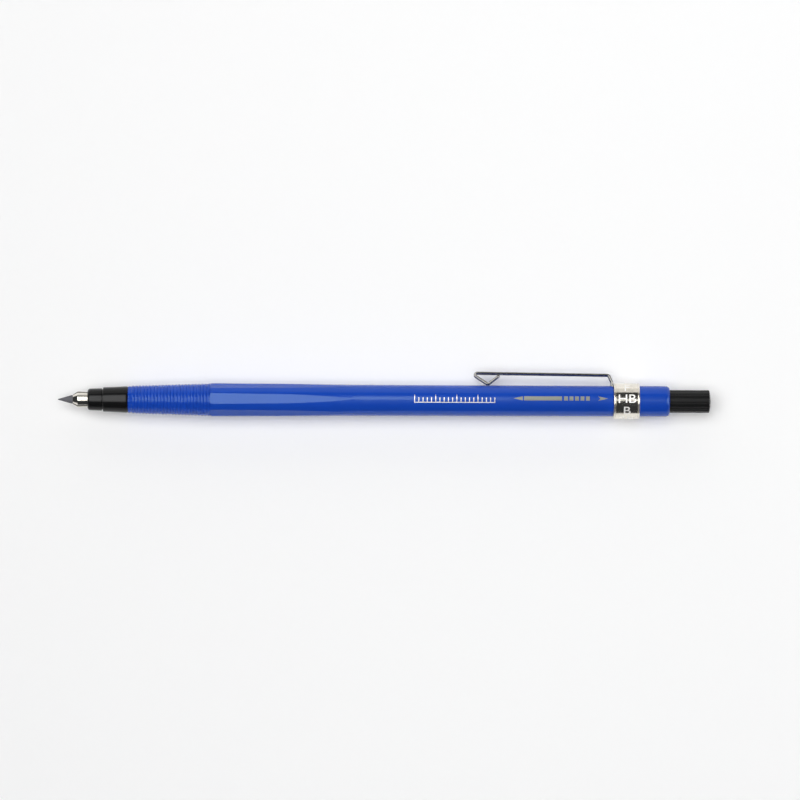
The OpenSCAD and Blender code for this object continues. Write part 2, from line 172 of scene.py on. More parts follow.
class Graph:
    """Adds nodes to one node tree."""

    def __init__(self, tree: bpy.types.NodeTree) -> None:
        """Empties the tree.

        Args:
            tree: A material's or a world's node tree.
        """
        self.tree = tree
        tree.nodes.clear()

    def node(
        self,
        kind: str,
        settings: dict[str, object] | None = None,
        inputs: dict[str | int, object] | None = None,
    ) -> Outputs:
        """Adds a node of any kind.

        Args:
            kind: The node's type, such as ShaderNodeBump.
            settings: Its properties, and "stops" for a ramp: a list of (position, colour).
            inputs: Values or signals for its sockets, by name or number.

        Returns:
            The node's outputs.
        """
        node = self.tree.nodes.new(kind)
        for name, value in (settings or {}).items():
            if name == "stops":
                self._set_stops(node, value)
            else:
                setattr(node, name, value)
        for key, value in (inputs or {}).items():
            if isinstance(value, Signal):
                self.tree.links.new(value.socket, node.inputs[key])
            else:
                node.inputs[key].default_value = value
        return Outputs(self, node)

    @staticmethod
    def _set_stops(node: bpy.types.Node, stops: Sequence[tuple[float, Colour]]) -> None:
        """Gives a ramp its stops.

        Args:
            node: The Color Ramp node.
            stops: Positions and colours from left to right.
        """
        elements = node.color_ramp.elements
        while len(elements) < len(stops):
            elements.new(1.0)
        for element, (position, colour) in zip(elements, stops):
            element.position = position
            element.color = (*colour, 1.0)

    def place(self) -> Signal:
        """The point on the piece, in metres, which moves with the piece."""
        return self.node("ShaderNodeTexCoord")["Object"]

    def scaled(self, vector: Signal, factors: Sequence[float]) -> Signal:
        """The vector times a factor for each axis."""
        inputs = {0: vector, 1: tuple(factors)}
        return self.node("ShaderNodeVectorMath", {"operation": "MULTIPLY"}, inputs)["Vector"]

    def noise(self, grain: Sequence[float], detail: float = 3.0, roughness: float = 0.55) -> Signal:
        """Smooth noise with a grain of its own size along each axis.

        Args:
            grain: Size of the grain along X, Y and Z, in metres.
            detail: Number of finer layers.
            roughness: Strength of the finer layers.

        Returns:
            A value around 0.5.
        """
        place = self.scaled(self.place(), [1.0 / size for size in grain])
        return self.node(
            "ShaderNodeTexNoise", {}, {"Vector": place, "Scale": 1.0, "Detail": detail, "Roughness": roughness}
        )["Fac"]

    def mix(self, factor: Signal, first: Colour, second: Colour) -> Signal:
        """Mixes two colours.

        Args:
            factor: 0 for the first, 1 for the second.
            first: The first colour.
            second: The second colour.

        Returns:
            The mixed colour.
        """
        factor_socket, first_socket, second_socket, result = 0, 6, 7, 2
        inputs = {factor_socket: factor, first_socket: (*first, 1.0), second_socket: (*second, 1.0)}
        return self.node("ShaderNodeMix", {"data_type": "RGBA"}, inputs)[result]

    def bump(self, height: Signal, depth: float) -> Signal:
        """A normal from a height.

        Args:
            height: Height between 0 and 1.
            depth: Depth of the relief, in metres.

        Returns:
            The bent normal.
        """
        return self.node("ShaderNodeBump", {}, {"Strength": 1.0, "Distance": depth, "Height": height})["Normal"]


# ---------------------------------------------------------------- finishes


@dataclass(frozen=True)
class Finish:
    """What every finish has: a name, a colour and the numbers of its clean surface.

    Attributes:
        name: Name of the material.
        colour: Linear base colour.
        roughness: Roughness of the clean surface.
        metallic: 1 for a metal.
        ior: Index of refraction.
        specular: Strength of a plastic's reflection, 0.5 for what its index gives.
        tint: Colour of a plastic's reflection when it is seen head-on.
    """

    name: str
    colour: Colour
    roughness: float
    metallic: float = 0.0
    ior: float = 1.5
    specular: float = 0.5
    tint: Colour = (1.0, 1.0, 1.0)

    def make(self) -> bpy.types.Material:
        """Builds the material.

        Returns:
            A new material with its nodes.
        """
        material = bpy.data.materials.new(self.name)
        material.use_nodes = True
        graph = Graph(material.node_tree)
        shader = graph.node(
            "ShaderNodeBsdfPrincipled",
            {},
            {
                "Base Color": (*self.colour, 1.0),
                "Roughness": self.roughness,
                "Metallic": self.metallic,
                "IOR": self.ior,
                "Specular IOR Level": self.specular,
                "Specular Tint": (*self.tint, 1.0),
                **self.surface(graph),
            },
        )
        graph.node("ShaderNodeOutputMaterial", {}, {"Surface": shader["BSDF"]})
        return material

    def surface(self, graph: Graph) -> dict[str, object]:
        """The sockets that vary over the surface.

        Args:
            graph: The material's graph.

        Returns:
            Socket names with their signals.
        """
        raise NotImplementedError

    def shaded(self, factor: float) -> Colour:
        """The base colour times a factor."""
        red, green, blue = self.colour
        return (red * factor, green * factor, blue * factor)


@dataclass(frozen=True)
class MouldedPlastic(Finish):
    """Injection-moulded plastic: faint flow clouds, fine handling scratches and a slight orange peel.

    Attributes:
        cloud: Size of the colour clouds, in metres.
        shift: How much paler and darker the clouds make the colour.
        scratch_grain: Size of a scratch along X, Y and Z, in metres.
        scratch_level: Noise above which a scratch shows.
        scratch_gain: How fast a scratch deepens above that level.
        scratch: How much the scratches roughen the surface.
        smear_grain: Size of a handling smear along X, Y and Z, in metres.
        smear: How much the smears change the roughness.
        peel_grain: Size of the orange peel's bumps, in metres.
        peel: Depth of the orange peel, in metres.
    """

    cloud: float = 9.0 * MM
    shift: float = 0.07
    scratch_grain: Size = (2.4 * MM, 0.05 * MM, 0.05 * MM)
    scratch_level: float = 0.52
    scratch_gain: float = 4.0
    scratch: float = 0.10
    smear_grain: Size = (5.0 * MM, 1.6 * MM, 1.6 * MM)
    smear: float = 0.06
    peel_grain: float = 0.28 * MM
    peel: float = 0.0006 * MM

    def surface(self, graph: Graph) -> dict[str, object]:
        """Clouds in the colour, scratches in the roughness and orange peel in the normal.

        Args:
            graph: The material's graph.

        Returns:
            Socket names with their signals.
        """
        clouds = graph.noise([self.cloud] * 3, detail=2.0)
        scratches = graph.noise(self.scratch_grain, detail=4.0, roughness=0.7)
        smears = graph.noise(self.smear_grain, detail=2.0)
        lines = (scratches - self.scratch_level).clamped(0.0, 1.0) * self.scratch_gain
        rough = self.roughness + lines * self.scratch + (smears - NOISE_MIDDLE) * self.smear
        peel = graph.noise([self.peel_grain] * 3, detail=1.0)
        return {
            "Base Color": graph.mix(clouds, self.shaded(1.0 - self.shift), self.shaded(1.0 + self.shift)),
            "Roughness": rough.clamped(0.05, 0.9),
            "Normal": graph.bump(peel, self.peel),
        }


@dataclass(frozen=True)
class WorkedMetal(Finish):
    """Plated, drawn or turned metal: fine tool lines one way, tarnish clouds and small pits.

    Attributes:
        line: Size of the tool lines' grain along X, Y and Z, in metres.
        line_depth: Depth of the lines, in metres.
        line_haze: How much the lines change the roughness.
        cloud: Size of the tarnish's clouds, in metres.
        tarnish: Linear colour of the dull clouds.
        contrast: How sharply the clouds begin.
        cover: How much of the tarnish shows where it is thickest.
        dulling: How much the clouds roughen the metal.
    """

    line: Size = (0.02 * MM, 1.2 * MM, 1.2 * MM)
    line_depth: float = 0.0004 * MM
    line_haze: float = 0.12
    cloud: float = 1.9 * MM
    tarnish: Colour = (0.45, 0.40, 0.32)
    contrast: float = 3.0
    cover: float = 0.45
    dulling: float = 0.12

    def surface(self, graph: Graph) -> dict[str, object]:
        """Tarnish in colour and roughness, tool lines in roughness and normal.

        Args:
            graph: The material's graph.

        Returns:
            Socket names with their signals.
        """
        clouds = graph.noise([self.cloud] * 3, detail=5.0, roughness=0.65)
        lines = graph.noise(self.line, detail=3.0, roughness=0.6)
        dull = ((clouds - NOISE_MIDDLE) * self.contrast).clamped(0.0, 1.0)
        rough = self.roughness + dull * self.dulling + (lines - NOISE_MIDDLE) * self.line_haze
        return {
            "Base Color": graph.mix(dull * self.cover, self.colour, self.tarnish),
            "Roughness": rough.clamped(0.04, 0.9),
            "Normal": graph.bump(lines, self.line_depth),
        }


@dataclass(frozen=True)
class Graphite(Finish):
    """Drafting lead: a grey sheen, rings left by the pointer's blade and dusty grains.

    Attributes:
        grain: Size of the dusty grains, in metres.
        ring: Size of the blade's rings along X, Y and Z, in metres.
        patch: Size of the shiny patches, in metres.
        patch_level: Noise above which a patch shows.
        patch_gain: How sharply a patch begins.
        dark: Factor on the colour between the patches.
        pale: Factor on the colour in the patches.
        dust: How much the grains change the roughness.
        ring_share: Share of the rings in the relief, the rest being grains.
        relief: Depth of the rings and grains, in metres.
    """

    grain: float = 0.05 * MM
    ring: Size = (0.035 * MM, 0.9 * MM, 0.9 * MM)
    patch: float = 0.5 * MM
    patch_level: float = 0.45
    patch_gain: float = 3.0
    dark: float = 0.75
    pale: float = 1.35
    dust: float = 0.3
    ring_share: float = 0.7
    relief: float = 0.012 * MM

    def surface(self, graph: Graph) -> dict[str, object]:
        """Sheen in the colour, grain in the roughness, blade rings in the normal.

        Args:
            graph: The material's graph.

        Returns:
            Socket names with their signals.
        """
        grain = graph.noise([self.grain] * 3, detail=3.0)
        rings = graph.noise(self.ring, detail=2.0)
        sheen = ((graph.noise([self.patch] * 3) - self.patch_level) * self.patch_gain).clamped(0.0, 1.0)
        relief = rings * self.ring_share + grain * (1.0 - self.ring_share)
        return {
            "Base Color": graph.mix(sheen, self.shaded(self.dark), self.shaded(self.pale)),
            "Roughness": (self.roughness + (grain - NOISE_MIDDLE) * self.dust).clamped(0.2, 0.9),
            "Normal": graph.bump(relief, self.relief),
        }


@dataclass(frozen=True)
class FoilPrint(Finish):
    """Hot-stamped foil: bright, with pinholes and a faint grain.

    Attributes:
        pinhole: Size of the pinholes, in metres.
        pinhole_level: Noise above which there is a pinhole.
        pinhole_shade: Factor on the colour in a pinhole.
        grain: Size of the grain, in metres.
        haze: How much the grain changes the roughness.
        relief: Depth of the grain, in metres.
    """

    pinhole: float = 0.06 * MM
    pinhole_level: float = 0.68
    pinhole_shade: float = 0.45
    grain: float = 0.12 * MM
    haze: float = 0.25
    relief: float = 0.002 * MM

    def surface(self, graph: Graph) -> dict[str, object]:
        """Pinholes in the colour, grain in the roughness and the normal.

        Args:
            graph: The material's graph.

        Returns:
            Socket names with their signals.
        """
        holes = graph.noise([self.pinhole] * 3, detail=2.0) > self.pinhole_level
        grain = graph.noise([self.grain] * 3)
        return {
            "Base Color": graph.mix(holes, self.colour, self.shaded(self.pinhole_shade)),
            "Roughness": (self.roughness + (grain - NOISE_MIDDLE) * self.haze).clamped(0.1, 0.9),
            "Normal": graph.bump(grain, self.relief),
        }


@dataclass(frozen=True)
class StudioPaper(Finish):
    """Pale translucent paper of the studio's floor, lit a little from below so that shadows stay soft.

    Attributes:
        glow: Strength of the light from below.
        painted_shade_slope: Painted shade: how much paler the paper is painted along X per metre, away from the
            key light.
        middle_tone: Tone at the middle of the holder.
        mottle: How much the grain changes the tone.
        grain: Size of the paper's grain, in metres.
        full_tone: Factor on the colour where the mix of black and colour is at 1.
        mix_share: Part of that mix at a tone of 1.
    """

    glow: float = 0.12
    painted_shade_slope: float = 0.7
    middle_tone: float = 0.99
    mottle: float = 0.01
    grain: float = 1.5 * MM
    full_tone: float = 1.25
    mix_share: float = 0.8

    def surface(self, graph: Graph) -> dict[str, object]:
        """A faint grain, and a tone of painted shade, darker towards the key light, that evens out the light.

        Args:
            graph: The material's graph.

        Returns:
            Socket names with their signals and values.
        """
        grain = graph.noise([self.grain] * 3)
        along = graph.node("ShaderNodeSeparateXYZ", {}, {0: graph.place()})["X"]
        mottled = (grain - NOISE_MIDDLE) * self.mottle
        # Painted shade: the paper is painted darker towards the key light so that the lit floor looks even.
        tone = (along * self.painted_shade_slope + self.middle_tone + mottled).clamped(0.8, 1.12)
        return {
            "Base Color": graph.mix(tone * self.mix_share, self.shaded(0.0), self.shaded(self.full_tone)),
            "Emission Color": (1.0, 1.0, 1.0, 1.0),
            "Emission Strength": self.glow,
        }


class Stock(Enum):
    """The finishes that the pieces choose from."""

    BLUE = MouldedPlastic(
        "blue_moulding", (0.008, 0.059, 0.44), 0.15, specular=0.42, tint=(0.7, 1.0, 1.0), scratch=0.12
    )
    BLACK = MouldedPlastic("black_moulding", (0.0065, 0.0065, 0.0068), 0.18, specular=0.22, scratch=0.15)
    BUTTON = MouldedPlastic("button_moulding", (0.005, 0.005, 0.0053), 0.33, specular=0.3, peel=0.002 * MM)
    NICKEL = WorkedMetal("nickel_plate", (0.83, 0.79, 0.71), 0.13, 1.0)
    JAW = WorkedMetal("turned_jaw", (0.80, 0.77, 0.70), 0.12, 1.0, line_depth=0.0008 * MM)
    BRASS = WorkedMetal("drawn_brass", (0.78, 0.56, 0.25), 0.24, 1.0, line=(1.5 * MM, 0.03 * MM, 0.03 * MM))
    WIRE = WorkedMetal(
        "clip_wire",
        (0.27, 0.265, 0.25),
        0.2,
        1.0,
        line=(1.6 * MM, 0.04 * MM, 0.04 * MM),
        tarnish=(0.15, 0.14, 0.13),
    )
    SPRING = WorkedMetal("spring_wire", (0.66, 0.66, 0.67), 0.22, 1.0, tarnish=(0.4, 0.4, 0.41))
    BLADE = WorkedMetal("ground_blade", (0.6, 0.61, 0.63), 0.2, 1.0, line=(0.6 * MM, 0.6 * MM, 0.02 * MM))
    GRAPHITE = Graphite("graphite", (0.02, 0.02, 0.0198), 0.4, 0.3, specular=0.22)
    FOIL = FoilPrint("foil_print", (0.80, 0.79, 0.75), 0.3, 1.0)
    # Painted shade: a darker copy of the same foil, for the lead and the arrow.
    DULL_FOIL = FoilPrint("painted_shade_foil_print", (0.25, 0.26, 0.23), 0.36, 1.0)
    LETTER = WorkedMetal("etched_letter", (0.90, 0.89, 0.86), 0.5, 0.35, tarnish=(0.7, 0.68, 0.62))
    PAPER = StudioPaper("studio_paper", (0.86, 0.86, 0.86), 0.8, specular=0.2)

    @property
    def material(self) -> bpy.types.Material:
        """The finish's material, made when it is first asked for."""
        return bpy.data.materials.get(self.value.name) or self.value.make()


# ---------------------------------------------------------------- mesh helpers


def new_piece(name: str, mesh: bpy.types.Mesh, stock: Stock, body: str) -> bpy.types.Object:
    """Adds a mesh to the scene as a piece of the holder.

    Args:
        name: The piece's name.
        mesh: Its mesh, in the frame's coordinates.
        stock: Its finish.
        body: The body that it rides on.

    Returns:
        The new object.
    """
    piece = bpy.data.objects.new(name, mesh)
    bpy.context.scene.collection.objects.link(piece)
    mesh.materials.clear()
    mesh.materials.append(stock.material)
    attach(piece, body)
    LOG.info("%s: %d faces on %s", name, len(mesh.polygons), body)
    return piece


def box_middle(node: str) -> Vector:
    """The middle of a node's box."""
    low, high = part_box(node)
    return (low + high) / 2


@dataclass
class Skin:
    """The outer surface of one round CAD node, on which thin pieces are laid.

    Attributes:
        target: The node's object.
        centre: A point on the node's axis, which is parallel to X.
        tree: Search tree of the node's faces.
    """

    target: bpy.types.Object
    centre: Vector
    tree: BVHTree = field(init=False, repr=False)

    def __post_init__(self) -> None:
        """Builds the search tree of the node's mesh."""
        mesh = self.target.data
        corners = [vertex.co for vertex in mesh.vertices]
        self.tree = BVHTree.FromPolygons(corners, [tuple(face.vertices) for face in mesh.polygons])

    def radius(self, x: float, angle: float) -> float:
        """Distance from the axis to the surface.

        Args:
            x: Place along the axis.
            angle: Angle from +Z towards +Y, in radians.

        Returns:
            The radius there.
        """
        outside = 20.0 * MM
        outwards = Vector((0.0, math.sin(angle), math.cos(angle)))
        start = Vector((x, self.centre.y, self.centre.z)) + outwards * outside
        hit = self.tree.ray_cast(start, -outwards)[0]
        return outside - (start - hit).length

    def wrapped(self, x: float, across: float, height: float, nominal: float) -> Vector:
        """A flat point laid on the surface.

        Args:
            x: Place along the axis.
            across: Distance round the surface from +Z towards +Y.
            height: Height over the surface.
            nominal: Radius that turns the distance round into an angle.

        Returns:
            The point in the frame.
        """
        angle = across / nominal
        reach = self.radius(x, angle) + height
        return Vector((x, self.centre.y + reach * math.sin(angle), self.centre.z + reach * math.cos(angle)))


def cut_into_strips(flat: bmesh.types.BMesh, step: float, along: int) -> None:
    """Cuts a flat mesh with parallel planes, so that it can bend.

    Args:
        flat: The mesh in its own plane.
        step: Distance between the cuts.
        along: 0 to cut across X and 1 to cut across Y.
    """
    values = [vertex.co[along] for vertex in flat.verts]
    normal = Vector((1.0, 0.0, 0.0)) if along == 0 else Vector((0.0, 1.0, 0.0))
    for number in range(math.ceil(min(values) / step), math.floor(max(values) / step) + 1):
        bmesh.ops.bisect_plane(
            flat,
            geom=[*flat.verts, *flat.edges, *flat.faces],
            plane_co=normal * number * step,
            plane_no=normal,
        )


def laid_plate(flat: bmesh.types.BMesh, skin: Skin, sunk: float, proud: float, step: float) -> None:
    """Turns a flat mesh into a thin closed plate on a surface.

    Args:
        flat: Faces in the plane of X and the distance round, changed in place.
        skin: The surface.
        sunk: Depth of the plate's underside below the surface.
        proud: Height of its top over the surface.
        step: Distance between the cuts that let it bend.
    """
    same_place = 1e-7
    steps_along = 4
    bmesh.ops.remove_doubles(flat, verts=flat.verts, dist=same_place)
    cut_into_strips(flat, step, 1)
    cut_into_strips(flat, step * steps_along, 0)
    tops = list(flat.faces)
    under = {vertex: flat.verts.new(vertex.co) for vertex in list(flat.verts)}
    for face in tops:
        if face.normal.z < 0:
            face.normal_flip()
    rims = [loop for face in tops for loop in face.loops if len(loop.edge.link_faces) == 1]
    sides = [(loop.vert, loop.link_loop_next.vert) for loop in rims]
    for face in tops:
        flat.faces.new([under[vertex] for vertex in reversed(face.verts)])
    for first, second in sides:
        flat.faces.new((second, first, under[first], under[second]))
    middle = sum(vertex.co.x for vertex in flat.verts) / len(flat.verts)
    nominal = skin.radius(middle, 0.0)
    below = set(under.values())
    for vertex in flat.verts:
        height = -sunk if vertex in below else proud
        vertex.co = skin.wrapped(vertex.co.x, vertex.co.y, height, nominal)
    bmesh.ops.recalc_face_normals(flat, faces=flat.faces)


def mesh_from(flat: bmesh.types.BMesh, name: str) -> bpy.types.Mesh:
    """Moves a bmesh into a new mesh.

    Args:
        flat: The bmesh, which is freed.
        name: The mesh's name.

    Returns:
        The mesh.
    """
    mesh = bpy.data.meshes.new(name)
    flat.to_mesh(mesh)
    flat.free()
    return mesh


def letters(text: str, height: float, widen: float) -> bmesh.types.BMesh:
    """Flat letters, centred on the origin.

    Args:
        text: The letters.
        height: Height of a capital.
        widen: Factor on the width.

    Returns:
        A bmesh of flat faces.
    """
    capital_share = 0.7
    curve = bpy.data.curves.new("letters", "FONT")
    curve.body = text
    curve.align_x = "CENTER"
    curve.size = height / capital_share
    curve.resolution_u = 5
    carrier = bpy.data.objects.new("letters", curve)
    bpy.context.scene.collection.objects.link(carrier)
    bpy.context.view_layer.update()
    mesh = bpy.data.meshes.new_from_object(carrier)
    bpy.data.objects.remove(carrier)
    flat = bmesh.new()
    flat.from_mesh(mesh)
    bpy.data.meshes.remove(mesh)
    for vertex in flat.verts:
        vertex.co.x *= widen
        vertex.co.y -= height / 2
    return flat


def add_bars(flat: bmesh.types.BMesh, boxes: Iterable[tuple[float, float, float, float]]) -> bmesh.types.BMesh:
    """Adds flat rectangles to a bmesh.

    Args:
        flat: The bmesh, changed in place.
        boxes: Left, right, low and high of each.

    Returns:
        The same bmesh.
    """
    for left, right, low, high in boxes:
        add_outline(flat, [(left, low), (right, low), (right, high), (left, high)])
    return flat


def add_outline(flat: bmesh.types.BMesh, outline: Sequence[Point]) -> None:
    """Adds one flat face to a bmesh."""
    flat.faces.new([flat.verts.new((x, y, 0.0)) for x, y in outline])


def swept_tube(path: Sequence[Vector], radius: float, sides: int) -> bmesh.types.BMesh:
    """A round wire along a path, with rounded ends.

    Args:
        path: Points of the centreline.
        radius: Radius of the wire.
        sides: Corners of its section.

    Returns:
        A closed bmesh.
    """
    tube = bmesh.new()
    end_share = 0.6
    side = Vector((0.0, 1.0, 0.0))
    rings = []
    last = len(path) - 1
    for index, point in enumerate(path):
        along = (path[min(index + 1, last)] - path[max(index - 1, 0)]).normalized()
        side = (side - along * side.dot(along)).normalized()
        up = along.cross(side)
        share = end_share if index in (0, last) else 1.0
        rings.append(
            [
                tube.verts.new(point + (side * math.cos(turn) + up * math.sin(turn)) * radius * share)
                for turn in (math.tau * number / sides for number in range(sides))
            ]
        )
    for ring, following in zip(rings, rings[1:]):
        for number in range(sides):
            after = (number + 1) % sides
            tube.faces.new((ring[number], ring[after], following[after], following[number]))
    tube.faces.new(list(reversed(rings[0])))
    tube.faces.new(rings[-1])
    bmesh.ops.recalc_face_normals(tube, faces=tube.faces)
    return tube


def smooth(mesh: bpy.types.Mesh) -> bpy.types.Mesh:
    """Shades every face smoothly.

    Args:
        mesh: The mesh, changed in place.

    Returns:
        The same mesh.
    """
    for face in mesh.polygons:
        face.use_smooth = True
    return mesh


# ---------------------------------------------------------------- sub-assemblies


@dataclass
class Assembly:
    """A group of CAD nodes, with the finishes they take and the pieces that are added to them.

    Attributes:
        nodes: The frame's objects by node name.
    """

    nodes: dict[str, bpy.types.Object]

    def finish(self, stock: Stock, *names: str) -> None:
        """Gives CAD nodes their finish.

        Args:
            stock: The finish.
            *names: Names of the nodes.
        """
        for name in names:
            mesh = self.nodes[name].data
            mesh.materials.clear()
            mesh.materials.append(stock.material)
            LOG.info("%s: dressed in %s", name, stock.value.name)

    def dress(self) -> None:
        """Gives the group's CAD nodes their finishes."""
        raise NotImplementedError

    def build(self) -> None:
        """Adds the group's own pieces; a group without any leaves this as it is."""


@dataclass
class Clutch(Assembly):
    """The jaws, their sleeve, the lead tube, the lead and the return spring.

    Attributes:
        stroke: Travel of the push button; not used.
        wire: Radius of the spring's wire.
        turns: Turns of the spring, with the two closed ones.
        sides: Corners of the spring wire's section.
        steps: Points for each turn.
    """

    stroke: float = 4.0 * MM
    wire: float = 0.145 * MM
    turns: int = 10
    sides: int = 14
    steps: int = 28

    def dress(self) -> None:
        """Gives the CAD nodes their finish."""
        self.finish(Stock.GRAPHITE, "lead")
        self.finish(Stock.JAW, "clutch_jaw_1", "clutch_jaw_2", "clutch_jaw_3")
        self.finish(Stock.BRASS, "clutch_sleeve", "lead_tube")

    def spring_path(self) -> list[Vector]:
        """Centreline of the spring, whose first and last turns lie closed.

        Returns:
            Points from the seat to the collar.
        """
        low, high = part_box("clutch_spring")
        middle = (low + high) / 2
        reach = (high.y - low.y) / 2 - self.wire
        thick = 2 * self.wire
        working = self.turns - 2
        pitch = (high.x - low.x - thick - 2 * thick) / working
        path = []
        for number in range(self.turns * self.steps + 1):
            turn = number / self.steps
            closed = min(turn, 1.0) + max(0.0, turn - 1 - working)
            x = low.x + self.wire + closed * thick + max(0.0, min(turn - 1, working)) * pitch
            angle = math.tau * turn
            path.append(Vector((x, middle.y + reach * math.sin(angle), middle.z - reach * math.cos(angle))))
        return path

    def build(self) -> None:
        """Makes the return spring and hides the frame's own."""
        mesh = smooth(mesh_from(swept_tube(self.spring_path(), self.wire, self.sides), "return_spring"))
        spring = new_piece("return_spring", mesh, Stock.SPRING, "holder")
        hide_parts("clutch_spring")
        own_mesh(spring)


@dataclass
class Barrel(Assembly):
    """The blue mouldings, the black nose and the foil marks behind the belly.

    Attributes:
        mark_side: Distance round the barrel from its top to the middle of the marks.
        scale_from: Distance from the ring's front edge back to the start of the foil scale.
        scale_length: Length of the foil scale.
        stick_length: Length of the foil lead.
        stick_gap: Distance between the scale and the foil lead.
        arrow_length: Length of the arrow that points at the ring.
        arrow_gap: Distance between the arrow's point and the ring.
        line: Width of the scale's lines.
        stick_half: Half the width of the foil lead.
        foil: Height of the foil over the plastic.
        sunk: Depth of the foil's underside in the plastic.
        cut: Distance between the cuts that let the foil bend round the barrel.
    """

    mark_side: float = 0.3 * MM
    scale_from: float = 47.35 * MM
    scale_length: float = 19.0 * MM
    stick_length: float = 19.0 * MM
    stick_gap: float = 4.5 * MM
    arrow_length: float = 2.3 * MM
    arrow_gap: float = 1.45 * MM
    line: float = 0.2 * MM
    stick_half: float = 0.5 * MM
    foil: float = 0.012 * MM
    sunk: float = 0.02 * MM
    cut: float = 0.25 * MM

    def dress(self) -> None:
        """Gives the CAD nodes their finish."""
        self.finish(Stock.BLUE, "barrel", "barrel_end")
        self.finish(Stock.BLACK, "nose_tip", "nose_cone")

    def scale_marks(self, start: float) -> bmesh.types.BMesh:
        """A short ruler: a base line with a tick for each millimetre.

        Args:
            start: Place of its first tick.

        Returns:
            Flat faces.
        """
        drop, gap = 0.9 * MM, 0.02 * MM
        long_tick, short_tick = 1.75 * MM, 1.05 * MM
        foot = self.mark_side - drop
        count = round(self.scale_length / MM)
        boxes = [(start, start + self.scale_length + self.line, foot - self.line, foot - gap)]
        for number in range(count + 1):
            tall = long_tick if number % 5 == 0 else short_tick
            left = start + number * self.scale_length / count
            boxes.append((left, left + self.line, foot + gap, foot + tall))
        return add_bars(bmesh.new(), boxes)

    def stick_marks(self, start: float) -> bmesh.types.BMesh:
        """A drawn lead: a sharpened stick with dashes behind it.

        Args:
            start: Place of its point.

        Returns:
            Flat faces.
        """
        cone, cone_gap = 2.2 * MM, 0.3 * MM
        stick, stick_gap = 9.0 * MM, 0.5 * MM
        dash, dash_gap = 0.9 * MM, 0.4 * MM
        middle = self.mark_side
        low, high = middle - self.stick_half, middle + self.stick_half
        shaft = start + cone + cone_gap
        boxes = [(shaft, shaft + stick, low, high)]
        place = shaft + stick + stick_gap
        while place + dash < start + self.stick_length:
            boxes.append((place, place + dash, low, high))
            place += dash + dash_gap
        flat = bmesh.new()
        add_outline(flat, [(start, middle), (start + cone, low), (start + cone, high)])
        return add_bars(flat, boxes)

    def arrow_marks(self, point: float) -> bmesh.types.BMesh:
        """The arrow that points at the chosen grade.

        Args:
            point: Place of its point.

        Returns:
            Flat faces.
        """
        half, notch = 0.55 * MM, 0.5 * MM
        tail = point - self.arrow_length
        flat = bmesh.new()
        middle = self.mark_side
        add_outline(flat, [(point, middle), (tail, middle + half), (tail + notch, middle)])
        add_outline(flat, [(point, middle), (tail + notch, middle), (tail, middle - half)])
        return flat

    def build(self) -> None:
        """Lays the foil marks on the barrel."""
        skin = Skin(self.nodes["barrel"], box_middle("push_button"))
        ring_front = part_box("grade_ring")[0].x
        scale_start = ring_front - self.scale_from
        stick_start = scale_start + self.scale_length + self.stick_gap
        marks = (
            ("foil_scale", self.scale_marks(scale_start), Stock.FOIL),
            # The lead and the arrow take the foil's copy darkened with painted shade.
            ("foil_lead", self.stick_marks(stick_start), Stock.DULL_FOIL),
            ("foil_arrow", self.arrow_marks(ring_front - self.arrow_gap), Stock.DULL_FOIL),
        )
        for name, flat, stock in marks:
            laid_plate(flat, skin, self.sunk, self.foil, self.cut)
            new_piece(name, mesh_from(flat, name), stock, "holder")


@dataclass
class GradeRing(Assembly):
    """The plated ring that shows the lead's grade.

    Attributes:
        grades: The grades in order round the ring, from the one that faces up.
        tilt: Angle of the first grade from the top towards the clip, in degrees.
        letter_height: Height of a capital.
        widen: Factor on the letters' width.
        relief: Height of the letters over the band.
        sunk: Depth of their underside in the band.
        cut: Distance between the cuts that let them bend round the band.
    """

    grades: tuple[str, ...] = ("HB", "F", "H", "2H", "3H", "4H", "3B", "2B", "B")
    tilt: float = 4.0
    letter_height: float = 2.05 * MM
    widen: float = 1.18
    relief: float = 0.03 * MM
    sunk: float = 0.02 * MM
    cut: float = 0.2 * MM

    def dress(self) -> None:
        """Gives the ring its plating."""
        self.finish(Stock.NICKEL, "grade_ring")

    def build(self) -> None:
        """Puts the grades round the band."""
        low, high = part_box("grade_ring")
        middle = (low + high) / 2
        skin = Skin(self.nodes["grade_ring"], middle)
        band = skin.radius(middle.x, 0.0)
        step = math.tau / len(self.grades)
        for number, grade in enumerate(self.grades):
            flat = letters(grade, self.letter_height, self.widen)
            shift = (math.radians(self.tilt) + number * step) * band
            for vertex in flat.verts:
                vertex.co.x += middle.x
                vertex.co.y += shift
            laid_plate(flat, skin, self.sunk, self.relief, self.cut)
            name = f"grade_{grade}"
            new_piece(name, mesh_from(flat, name), Stock.LETTER, "ring")


@dataclass
class Clip(Assembly):
    """The bent wire clip."""

    def dress(self) -> None:
        """Gives the wire its finish."""
        self.finish(Stock.WIRE, "clip_arm", "clip_end_1", "clip_end_2")


@dataclass
class Button(Assembly):
    """The push button with the lead pointer inside it."""

    def dress(self) -> None:
        """Gives the button, the plug and the blade their finishes."""
        self.finish(Stock.BUTTON, "push_button")
        self.finish(Stock.BRASS, "pointer_body")
        self.finish(Stock.BLADE, "pointer_blade")


# ---------------------------------------------------------------- studio


